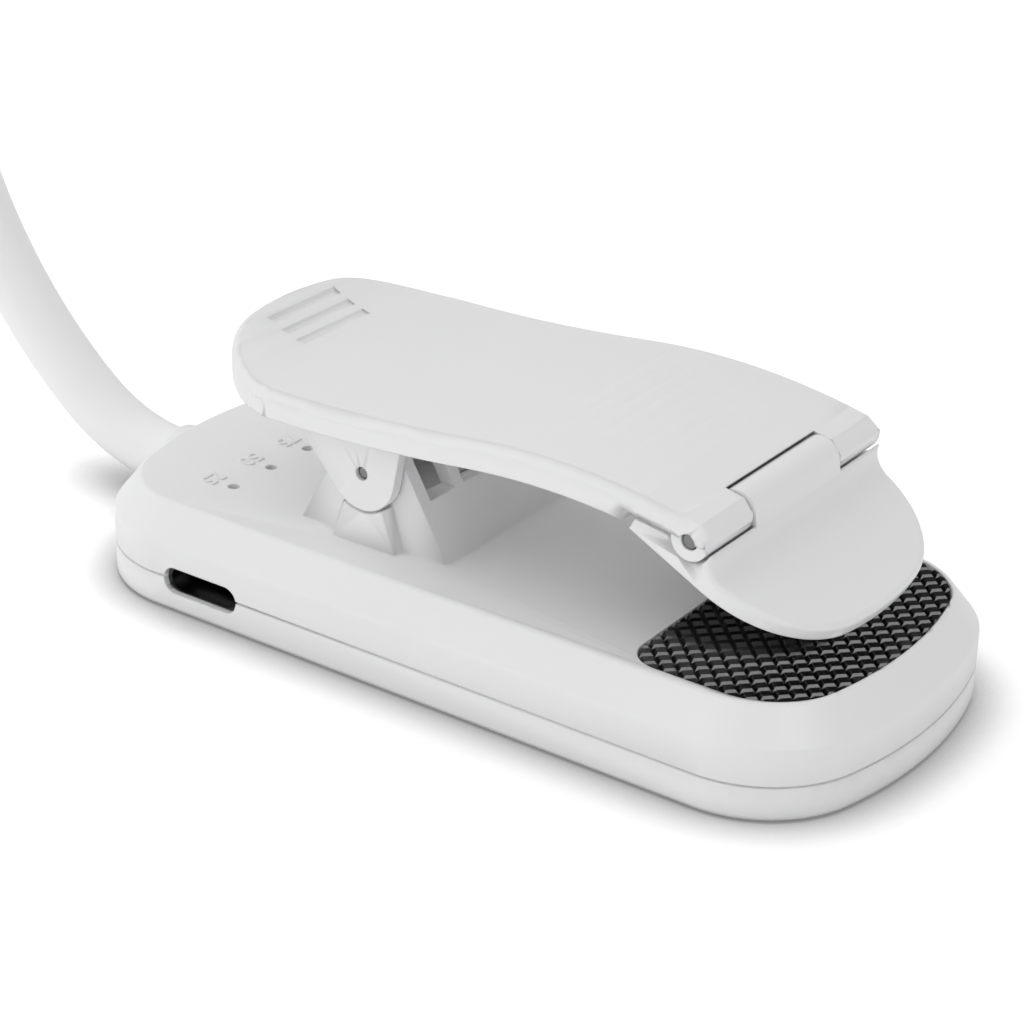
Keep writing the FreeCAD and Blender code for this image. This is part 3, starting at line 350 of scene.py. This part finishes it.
def grain_group():
    """A shared effect: faint colour drift, roughness drift and a fine moulded grain."""
    found = bpy.data.node_groups.get("moulded_grain")
    if found:
        return found
    group = bpy.data.node_groups.new("moulded_grain", "ShaderNodeTree")
    socket(group, "Colour", "NodeSocketColor", "INPUT", (0.8, 0.8, 0.8, 1))
    socket(group, "Drift", "NodeSocketFloat", "INPUT", 0.03)
    socket(group, "Roughness", "NodeSocketFloat", "INPUT", 0.4)
    socket(group, "Scale", "NodeSocketFloat", "INPUT", 2500.0)
    socket(group, "Depth", "NodeSocketFloat", "INPUT", 0.01 * MM)
    socket(group, "Soften", "NodeSocketFloat", "INPUT", 0.2 * MM)
    socket(group, "Colour", "NodeSocketColor", "OUTPUT")
    socket(group, "Roughness", "NodeSocketFloat", "OUTPUT")
    socket(group, "Normal", "NodeSocketVector", "OUTPUT")
    links = group.links
    given = shader_node(group, "NodeGroupInput")
    result = shader_node(group, "NodeGroupOutput")
    place = shader_node(group, "ShaderNodeTexCoord")
    cloud = shader_node(group, "ShaderNodeTexNoise", Scale=90.0, Detail=4.0)
    fine = shader_node(group, "ShaderNodeTexNoise", Detail=3.0)
    links.new(place.outputs["Object"], cloud.inputs["Vector"])
    links.new(place.outputs["Object"], fine.inputs["Vector"])
    links.new(given.outputs["Scale"], fine.inputs["Scale"])
    swing = math_node(group, "SUBTRACT", second=0.5)
    links.new(cloud.outputs["Fac"], swing.inputs[0])
    drift = math_node(group, "MULTIPLY_ADD", third=1.0)
    links.new(swing.outputs[0], drift.inputs[0])
    links.new(given.outputs["Drift"], drift.inputs[1])
    tint = shader_node(group, "ShaderNodeVectorMath")
    tint.operation = "SCALE"
    links.new(given.outputs["Colour"], tint.inputs[0])
    links.new(drift.outputs[0], tint.inputs["Scale"])
    links.new(tint.outputs[0], result.inputs["Colour"])
    rough = math_node(group, "MULTIPLY")
    rough_swing = shader_node(group, "ShaderNodeMapRange", To_Min=0.88, To_Max=1.12)
    links.new(fine.outputs["Fac"], rough_swing.inputs["Value"])
    links.new(given.outputs["Roughness"], rough.inputs[0])
    links.new(rough_swing.outputs[0], rough.inputs[1])
    links.new(rough.outputs[0], result.inputs["Roughness"])
    soft = shader_node(group, "ShaderNodeBevel")
    soft.samples = BEVEL_SAMPLES
    links.new(given.outputs["Soften"], soft.inputs["Radius"])
    bump = shader_node(group, "ShaderNodeBump")
    links.new(given.outputs["Depth"], bump.inputs["Distance"])
    links.new(fine.outputs["Fac"], bump.inputs["Height"])
    links.new(soft.outputs["Normal"], bump.inputs["Normal"])
    links.new(bump.outputs["Normal"], result.inputs["Normal"])
    return group


def finish(name, colour, rough, scale=2500.0, depth=0.0, drift=0.03, soften=0.0, **shader):
    """A material made from the shared grain, with its constant values on the shader itself."""
    own_name = "lamp_" + name
    found = bpy.data.materials.get(own_name)
    if found:
        return found
    material = bpy.data.materials.new(own_name)
    material.use_nodes = True
    tree = material.node_tree
    bsdf = tree.nodes["Principled BSDF"]
    grain = tree.nodes.new("ShaderNodeGroup")
    grain.node_tree = grain_group()
    grain.inputs["Colour"].default_value = (*colour, 1)
    grain.inputs["Drift"].default_value = drift
    grain.inputs["Roughness"].default_value = rough
    grain.inputs["Scale"].default_value = scale
    grain.inputs["Depth"].default_value = depth
    grain.inputs["Soften"].default_value = soften
    tree.links.new(grain.outputs["Colour"], bsdf.inputs["Base Color"])
    tree.links.new(grain.outputs["Roughness"], bsdf.inputs["Roughness"])
    tree.links.new(grain.outputs["Normal"], bsdf.inputs["Normal"])
    for key, value in shader.items():
        bsdf.inputs[key.replace("_", " ")].default_value = value
    return material


def white_plastic():
    """The satin white of the shells, the clip and the head."""
    look = bpy.context.scene.lamp_finish
    return finish("white_plastic", tuple(look.white), look.plastic_rough, scale=3200.0,
                  depth=look.grain, drift=0.02, soften=look.soften,
                  Specular_IOR_Level=0.42, Subsurface_Weight=0.12,
                  Subsurface_Radius=(0.6 * MM, 0.55 * MM, 0.5 * MM))


def white_sleeve():
    """The softer white of the neck."""
    look = bpy.context.scene.lamp_finish
    return finish("white_sleeve", tuple(look.sleeve), rough=0.55, scale=2800.0,
                  depth=0.005 * MM, drift=0.02)


def black_rubber():
    """The slightly glossy black of the grip pads."""
    look = bpy.context.scene.lamp_finish
    return finish("black_rubber", tuple(look.rubber), rough=0.26, scale=2600.0,
                  depth=0.006 * MM, drift=0.2, soften=0.03 * MM, Specular_IOR_Level=0.6)


def steel(name, rough, tone):
    """Bare steel of a given tone."""
    return finish(name, (tone, tone, tone * 1.01), rough, scale=5000.0,
                  depth=0.002 * MM, drift=0.1, soften=0.1 * MM, Metallic=1.0)


def dark_plastic():
    """Near-black plastic of the small fittings."""
    return finish("dark_plastic", (0.025, 0.025, 0.027), rough=0.45, scale=3000.0,
                  depth=0.004 * MM, drift=0.1, soften=0.05 * MM)


class LAMP_OT_shells(bpy.types.Operator):
    """Gives the body its two white shells and the neck's grommet"""
    bl_idname = "lamp.shells"
    bl_label = "Body shells"

    def execute(self, context):
        for node in ("back_shell", "front_shell", "neck_grommet"):
            skin(node, white_plastic(), SHELL_ANGLE)
        return {"FINISHED"}


def numeral(text, x, y, z):
    """One raised number beside its charge light."""
    shape = bpy.context.scene.lamp_shape
    bpy.ops.object.text_add(location=(x, y, z), rotation=(0, 0, -math.pi / 2))
    obj = bpy.context.object
    obj.name = "numeral_" + text
    obj.data.body = text
    obj.data.size = shape.numeral_size
    obj.data.align_x = "CENTER"
    obj.data.align_y = "TOP"
    obj.data.extrude = shape.numeral_rise
    obj.data.bevel_depth = shape.numeral_rise * NUMERAL_EDGE
    select_only(obj)
    bpy.ops.object.convert(target="MESH")
    obj = bpy.context.object
    settled(obj)
    smooth(obj, NUMERAL_ANGLE)
    return placed(obj, "base", [], white_plastic())


class LAMP_OT_marks(bpy.types.Operator):
    """Raises plain numbers beside the charge lights"""
    bl_idname = "lamp.marks"
    bl_label = "Charge numbers"

    def execute(self, context):
        low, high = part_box("charge_leds")
        x = (low.x + high.x) / 2 - NUMERAL_BACK
        for number, text in enumerate(NUMERALS):
            numeral(text, x, NUMERAL_FIRST + number * NUMERAL_PITCH, DECK_TOP)
        return {"FINISHED"}


def knurled(node, name, turn, centre, low, high, reach):
    """A pad whose upper face is a field of small diamonds, cut to the part's outline."""
    shape = bpy.context.scene.lamp_shape
    count = int(reach / shape.knurl_pitch)
    side = shape.knurl_pitch
    drop = low - high + shape.knurl_height
    bpy.ops.mesh.primitive_grid_add(x_subdivisions=count, y_subdivisions=count, size=count * side)
    obj = bpy.context.object
    obj.name = name
    obj.rotation_euler = (0, 0, math.pi / 4)
    obj.location = (0, 0, high - shape.knurl_height)
    settled(obj)
    edit(obj)
    bpy.ops.mesh.inset(thickness=side * shape.knurl_inset, use_individual=True)
    bpy.ops.transform.translate(value=(0, 0, shape.knurl_height))
    bpy.ops.mesh.select_all(action="DESELECT")
    bpy.ops.mesh.select_mode(type="EDGE")
    bpy.ops.mesh.select_non_manifold()
    bpy.ops.mesh.extrude_region_move(TRANSFORM_OT_translate={"value": (0, 0, drop)})
    bpy.ops.mesh.edge_face_add()
    bpy.ops.mesh.select_all(action="SELECT")
    bpy.ops.mesh.normals_make_consistent(inside=False)
    done()
    obj.rotation_euler = turn
    obj.location = centre
    settled(obj)
    cutter = twin(node, name + "_outline")
    apply_modifier(cutter, "BEVEL", width=shape.knurl_height, segments=RIM_STEPS,
                   limit_method="ANGLE", angle_limit=RIM_ANGLE)
    apply_modifier(obj, "BOOLEAN", operation="INTERSECT", solver="EXACT", object=cutter)
    bpy.data.objects.remove(cutter)
    select_only(obj)
    bpy.ops.object.shade_flat()
    placed(obj, body_of_node(node), [node], black_rubber())
    return obj


class LAMP_OT_grips(bpy.types.Operator):
    """Makes the knurled rubber pads of the body and the jaw"""
    bl_idname = "lamp.grips"
    bl_label = "Rubber grips"

    def execute(self, context):
        low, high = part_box("grip_pad")
        knurled("grip_pad", "grip_pad_knurl", (0, 0, 0), PAD_FIELD_CENTRE,
                low.z - PAD_FIELD_SUNK, high.z, PAD_FIELD_REACH)
        knurled("jaw_pad", "jaw_pad_knurl", (math.pi, JAW_TILT, 0), JAW_PIN,
                JAW_PAD_ROOT, JAW_PAD_FACE, JAW_FIELD_REACH)
        return {"FINISHED"}


class LAMP_OT_clip(bpy.types.Operator):
    """Gives the clip its lever, jaw, pins and spring"""
    bl_idname = "lamp.clip"
    bl_label = "Clip"

    def execute(self, context):
        skin("clip_lever", white_plastic(), CLIP_ANGLE)
        skin("swivel_jaw", white_plastic(), CLIP_ANGLE)
        # Painted reflection: the pins' steel is darker in tone than the screws and the spring,
        # standing in for dark surroundings mirrored in it.
        pin_steel = steel("pin_steel", rough=0.16, tone=0.24)
        skin("clip_pin", pin_steel)
        skin("jaw_pin", pin_steel)
        coil = twin("clip_spring", "clip_spring_coil")
        smooth(coil, COIL_ANGLE)
        coil.data.materials.append(steel("spring_steel", rough=0.28, tone=0.5))
        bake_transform(coil)
        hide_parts("clip_spring")
        return {"FINISHED"}


def facing(heading):
    """The way the neck runs at a heading, in degrees up from the body's rear."""
    turn = math.radians(heading)
    return Vector((-math.cos(turn), 0, math.sin(turn)))


def along(stretch, share):
    """The point at a share of the way along a stretch."""
    start, heading, length, turn = stretch
    if not turn:
        return start + facing(heading) * length * share
    radius = length / math.radians(turn)
    a = math.radians(heading)
    b = math.radians(heading + turn * share)
    across = radius * (math.sin(a) - math.sin(b))
    rise = radius * (math.cos(a) - math.cos(b))
    return start + Vector((across, 0, rise))


def stretches():
    """Start, heading, length and turn of each stretch of the neck, its straight root first."""
    place = NECK_ROOT.copy()
    heading = 0.0
    found = []
    for length, turn in [(NECK_LEAD, 0.0)] + list(zip(NECK_LENGTHS, NECK_TURNS)):
        found.append((place.copy(), heading, length * MM, turn))
        place = along(found[-1], 1.0)
        heading += turn
    return found


def sweep(stretch, first, last):
    """Carries the selected ring of vertices along part of a stretch."""
    start, heading, length, turn = stretch
    steps = max(2, round(length * (last - first) / NECK_STEP))
    if not turn:
        move = facing(heading) * length * (last - first) / steps
        for _ in range(steps):
            bpy.ops.mesh.extrude_region_move(TRANSFORM_OT_translate={"value": move})
        return
    radius = length / math.radians(turn)
    a = math.radians(heading)
    centre = start + Vector((math.sin(a), 0, math.cos(a))) * radius
    angle = -math.radians(turn) * (last - first)
    bpy.ops.mesh.spin(steps=steps, angle=angle, center=centre, axis=(0, 1, 0))


def sleeve_piece(number, parts):
    """One piece of sleeve, from the middle of a stretch to the middle of the next."""
    shape = bpy.context.scene.lamp_shape
    stretch, first, last = parts[0]
    heading = stretch[1] + stretch[3] * first
    bpy.ops.mesh.primitive_circle_add(
        vertices=shape.neck_sides, radius=shape.neck_radius, location=along(stretch, first),
        rotation=(0, math.radians(heading - 90), 0))
    obj = bpy.context.object
    obj.name = f"neck_sleeve_bend_{number}"
    settled(obj)
    edit(obj)
    for stretch, first, last in parts:
        sweep(stretch, first, last)
    bpy.ops.mesh.select_all(action="SELECT")
    bpy.ops.mesh.normals_make_consistent(inside=False)
    done()
    smooth(obj, TUBE_ANGLE)
    obj.data.materials.append(white_sleeve())
    return obj


class LAMP_OT_neck(bpy.types.Operator):
    """Covers the neck with a smooth sleeve that follows its curves, one piece round every joint"""
    bl_idname = "lamp.neck"
    bl_label = "Neck sleeve"

    def execute(self, context):
        run = stretches()
        count = len(NECK_LENGTHS)
        for number in range(1, count):
            near = run[number]
            far = run[number + 1]
            parts = [(near, MIDDLE, 1.0), (far, 0.0, MIDDLE)]
            if number == 1:
                parts = [(run[0], 0.0, 1.0), (near, 0.0, 1.0), (far, 0.0, MIDDLE)]
            if number == count - 1:
                parts[-1] = (far, 0.0, 1.0)
            obj = sleeve_piece(number, parts)
            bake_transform(obj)
            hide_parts(f"neck_sleeve_{number}", f"neck_sleeve_{number + 1}")
        return {"FINISHED"}


class LAMP_OT_button(bpy.types.Operator):
    """Gives the push button its cap and a plain ring mark"""
    bl_idname = "lamp.button"
    bl_label = "Push button"

    def execute(self, context):
        grey = finish("button_plastic", (0.66, 0.66, 0.67), rough=0.4, scale=3000.0,
                      depth=0.005 * MM, drift=0.02, soften=0.15 * MM)
        skin("power_button", grey, CAP_ANGLE)
        low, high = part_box("power_button")
        centre = (low + high) / 2
        bpy.ops.mesh.primitive_torus_add(
            location=(centre.x, 0, low.z + RING_SUNK),
            major_radius=context.scene.lamp_shape.symbol_radius, minor_radius=RING_WIRE,
            major_segments=RING_STEPS, minor_segments=RING_SIDES)
        ring = bpy.context.object
        ring.name = "button_ring"
        settled(ring)
        smooth(ring, TUBE_ANGLE)
        placed(ring, "button", [], dark_plastic())
        return {"FINISHED"}


class LAMP_OT_head(bpy.types.Operator):
    """Gives the light head its housing, frame and frosted window"""
    bl_idname = "lamp.head"
    bl_label = "Light head"

    def execute(self, context):
        skin("head_housing", white_plastic(), SHELL_ANGLE)
        skin("head_frame", white_plastic(), SHELL_ANGLE)
        opal = finish("opal_window", (0.86, 0.86, 0.84), rough=0.38, scale=1800.0,
                      depth=0.01 * MM, drift=0.02, soften=0.1 * MM,
                      Transmission_Weight=0.55, Subsurface_Weight=0.2)
        skin("head_diffuser", opal, CAP_ANGLE)
        return {"FINISHED"}


class LAMP_OT_inside(bpy.types.Operator):
    """Gives the socket and everything inside the shells its material"""
    bl_idname = "lamp.inside"
    bl_label = "Socket and inside"

    def execute(self, context):
        board = finish("board_green", (0.02, 0.16, 0.06), rough=0.3, scale=1500.0,
                       depth=0.006 * MM, drift=0.15)
        pale = finish("board_white", (0.78, 0.78, 0.76), rough=0.3, scale=1500.0,
                      depth=0.004 * MM, drift=0.05)
        paper = finish("tape_paper", (0.8, 0.8, 0.78), rough=0.7, scale=1200.0,
                       depth=0.01 * MM, drift=0.06)
        foil = finish("cell_foil", (0.62, 0.62, 0.64), rough=0.35, scale=900.0,
                      depth=0.02 * MM, drift=0.1, Metallic=1.0)
        wire = finish("lead_wire", (0.45, 0.02, 0.015), rough=0.4, scale=1500.0,
                      depth=0.004 * MM, drift=0.1)
        lens = finish("led_lens", (0.85, 0.72, 0.25), rough=0.25, scale=1500.0,
                      depth=0.003 * MM, drift=0.1)
        gold = finish("contact_gold", (0.8, 0.58, 0.22), rough=0.25,
                      depth=0.002 * MM, drift=0.1, Metallic=1.0)
        core = finish("core_wire", (0.55, 0.55, 0.56), rough=0.4,
                      depth=0.004 * MM, drift=0.1, Metallic=1.0)
        shell = finish("socket_steel", (0.09, 0.09, 0.092), rough=0.35,
                       depth=0.003 * MM, drift=0.1, Metallic=1.0)
        plain = steel("screw_steel", rough=0.32, tone=0.55)
        grey = finish("tongue_plastic", (0.8, 0.8, 0.8), rough=0.4, depth=0.003 * MM, drift=0.1)
        looks = {
            "main_board": board, "led_board": pale,
            "battery_tape": paper, "reflector_sheet": paper, "battery_cell": foil,
            "battery_leads": wire, "neck_leads": wire, "head_leads": wire,
            "charge_leds": lens, "led_chips": lens,
            "usb_contacts": gold, "usb_shell": shell, "usb_tongue": grey,
            "board_chips": dark_plastic(), "charge_coil": dark_plastic(),
            "button_switch": dark_plastic(),
            "shell_screws": plain, "clamp_screws": plain, "head_screws": plain,
            "neck_clamp": plain, "neck_anchor": plain, "head_anchor": plain,
        }
        for number in range(1, len(NECK_LENGTHS) + 1):
            looks[f"neck_core_{number}"] = core
        for node, material in looks.items():
            mesh = frame["nodes"][node].data
            mesh.materials.clear()
            mesh.materials.append(material)
        return {"FINISHED"}


def floor_paper(stage):
    """White paper with a painted contact shadow that darkens its colour close to the lamp, and a
    little glow as the camera sees it.
    """
    paper = bpy.data.materials.new("floor_paper")
    paper.use_nodes = True
    tree = paper.node_tree
    bsdf = tree.nodes["Principled BSDF"]
    # Painted shade: ambient occlusion darkens the floor's colour near the lamp, standing in for its
    # contact shadow.
    near = shader_node(tree, "ShaderNodeAmbientOcclusion", Distance=stage.contact_reach)
    near.samples = CONTACT_SAMPLES
    shade = shader_node(tree, "ShaderNodeMapRange",
                        From_Min=stage.contact_closed, From_Max=stage.contact_open,
                        To_Min=stage.contact_dark, To_Max=stage.floor_white)
    tree.links.new(near.outputs["AO"], shade.inputs["Value"])
    tree.links.new(shade.outputs["Result"], bsdf.inputs["Base Color"])
    bsdf.inputs["Roughness"].default_value = 0.9
    bsdf.inputs["Specular IOR Level"].default_value = 0.1
    bsdf.inputs["Emission Color"].default_value = (1, 1, 1, 1)
    seen = shader_node(tree, "ShaderNodeLightPath")
    glow = math_node(tree, "MULTIPLY", second=stage.floor_glow)
    tree.links.new(seen.outputs["Is Camera Ray"], glow.inputs[0])
    tree.links.new(glow.outputs[0], bsdf.inputs["Emission Strength"])
    return paper


def white_room(scene, stage):
    """Light from all round: darker on one side, faint in reflections, plain white to the camera."""
    world = scene.world or bpy.data.worlds.new("white_room")
    scene.world = world
    world.use_nodes = True
    tree = world.node_tree
    links = tree.links
    sky = tree.nodes["Background"]
    sky.inputs["Color"].default_value = (1, 1, 1, 1)
    path = shader_node(tree, "ShaderNodeLightPath")
    way = shader_node(tree, "ShaderNodeTexCoord")
    apart = shader_node(tree, "ShaderNodeSeparateXYZ")
    links.new(way.outputs["Generated"], apart.inputs["Vector"])
    side = shader_node(tree, "ShaderNodeMapRange", From_Min=-1.0,
                       To_Min=stage.sky * (1 + stage.sky_lean),
                       To_Max=stage.sky * (1 - stage.sky_lean))
    links.new(apart.outputs["X"], side.inputs["Value"])
    mirrored = shader_node(tree, "ShaderNodeMix", B=stage.mirror_sky)
    mirrored.data_type = "FLOAT"
    links.new(path.outputs["Is Glossy Ray"], mirrored.inputs["Factor"])
    links.new(side.outputs["Result"], mirrored.inputs["A"])
    strength = shader_node(tree, "ShaderNodeMix", B=1.0)
    strength.data_type = "FLOAT"
    links.new(path.outputs["Is Camera Ray"], strength.inputs["Factor"])
    links.new(mirrored.outputs["Result"], strength.inputs["A"])
    links.new(strength.outputs["Result"], sky.inputs["Strength"])


def soft_light(name, place, aim, size, power):
    """A square light that points at a place."""
    bpy.ops.object.light_add(type="AREA", location=place)
    lamp = bpy.context.object
    lamp.name = name
    lamp.data.size = size
    lamp.data.energy = power
    lamp.rotation_euler = (Vector(aim) - Vector(place)).to_track_quat("-Z", "Y").to_euler()
    return lamp


def camera_frame(stage):
    """The camera's place and its right, up and back ways."""
    flat = math.cos(stage.elevation)
    back = Vector((math.sin(stage.azimuth) * flat, -math.cos(stage.azimuth) * flat,
                   math.sin(stage.elevation)))
    level = Vector((math.cos(stage.azimuth), math.sin(stage.azimuth), 0))
    upward = back.cross(level)
    right = level * math.cos(stage.roll) + upward * math.sin(stage.roll)
    up = upward * math.cos(stage.roll) - level * math.sin(stage.roll)
    place = back * stage.distance + right * stage.shift_right + up * stage.shift_up
    return place, right, up, back


def photo_camera(scene, stage):
    """The camera from which the lamp looks as it does in its photo."""
    place, right, up, back = camera_frame(stage)
    bpy.ops.object.camera_add()
    camera = bpy.context.object
    camera.name = "photo_camera"
    camera.data.sensor_width = SENSOR_WIDTH
    camera.data.lens = stage.lens
    camera.data.clip_start = CLIP_NEAR
    camera.data.clip_end = CLIP_FAR
    camera.matrix_world = Matrix((
        (right.x, up.x, back.x, place.x),
        (right.y, up.y, back.y, place.y),
        (right.z, up.z, back.z, place.z),
        (0, 0, 0, 1)))
    scene.camera = camera


class LAMP_OT_stage(bpy.types.Operator):
    """Sets the white floor, the soft lights and the camera"""
    bl_idname = "lamp.stage"
    bl_label = "Stage"

    def execute(self, context):
        stage = context.scene.lamp_stage
        bpy.ops.mesh.primitive_plane_add(size=FLOOR_SIZE, location=(0, 0, -stage.floor_gap))
        floor = context.object
        floor.name = "floor"
        floor.data.materials.append(floor_paper(stage))
        white_room(context.scene, stage)
        soft_light("key_light", stage.key_place, stage.key_aim, stage.key_size, stage.key)
        panel = soft_light("glint_panel", stage.glint_place, stage.glint_aim, stage.glint_size,
                           stage.glint)
        panel.visible_diffuse = False
        photo_camera(context.scene, stage)
        context.scene.view_settings.view_transform = "Standard"
        return {"FINISHED"}


class LAMP_PT_panel(bpy.types.Panel):
    """The lamp's settings and steps"""
    bl_idname = "LAMP_PT_panel"
    bl_label = "Clip reading lamp"
    bl_space_type = "VIEW_3D"
    bl_region_type = "UI"
    bl_category = "Lamp"

    def draw(self, context):
        for name in ("lamp_shape", "lamp_finish", "lamp_stage"):
            box = self.layout.box()
            group = getattr(context.scene, name)
            for key in group.__annotations__:
                box.prop(group, key)
        for step in STEPS:
            self.layout.operator(step.bl_idname)


STEPS = (LAMP_OT_shells, LAMP_OT_marks, LAMP_OT_grips, LAMP_OT_clip, LAMP_OT_neck,
         LAMP_OT_button, LAMP_OT_head, LAMP_OT_inside, LAMP_OT_stage)
GROUPS = (LampShape, LampFinish, LampStage)
CLASSES = GROUPS + STEPS + (LAMP_PT_panel,)


def register():
    for cls in CLASSES:
        bpy.utils.register_class(cls)
    bpy.types.Scene.lamp_shape = bpy.props.PointerProperty(type=LampShape)
    bpy.types.Scene.lamp_finish = bpy.props.PointerProperty(type=LampFinish)
    bpy.types.Scene.lamp_stage = bpy.props.PointerProperty(type=LampStage)


def unregister():
    del bpy.types.Scene.lamp_stage
    del bpy.types.Scene.lamp_finish
    del bpy.types.Scene.lamp_shape
    for cls in reversed(CLASSES):
        bpy.utils.unregister_class(cls)


def main():
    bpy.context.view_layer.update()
    register()
    bpy.ops.lamp.shells()
    bpy.ops.lamp.marks()
    bpy.ops.lamp.grips()
    bpy.ops.lamp.clip()
    bpy.ops.lamp.neck()
    bpy.ops.lamp.button()
    bpy.ops.lamp.head()
    bpy.ops.lamp.inside()
    bpy.ops.lamp.stage()


if __name__ == "__main__":
    main()
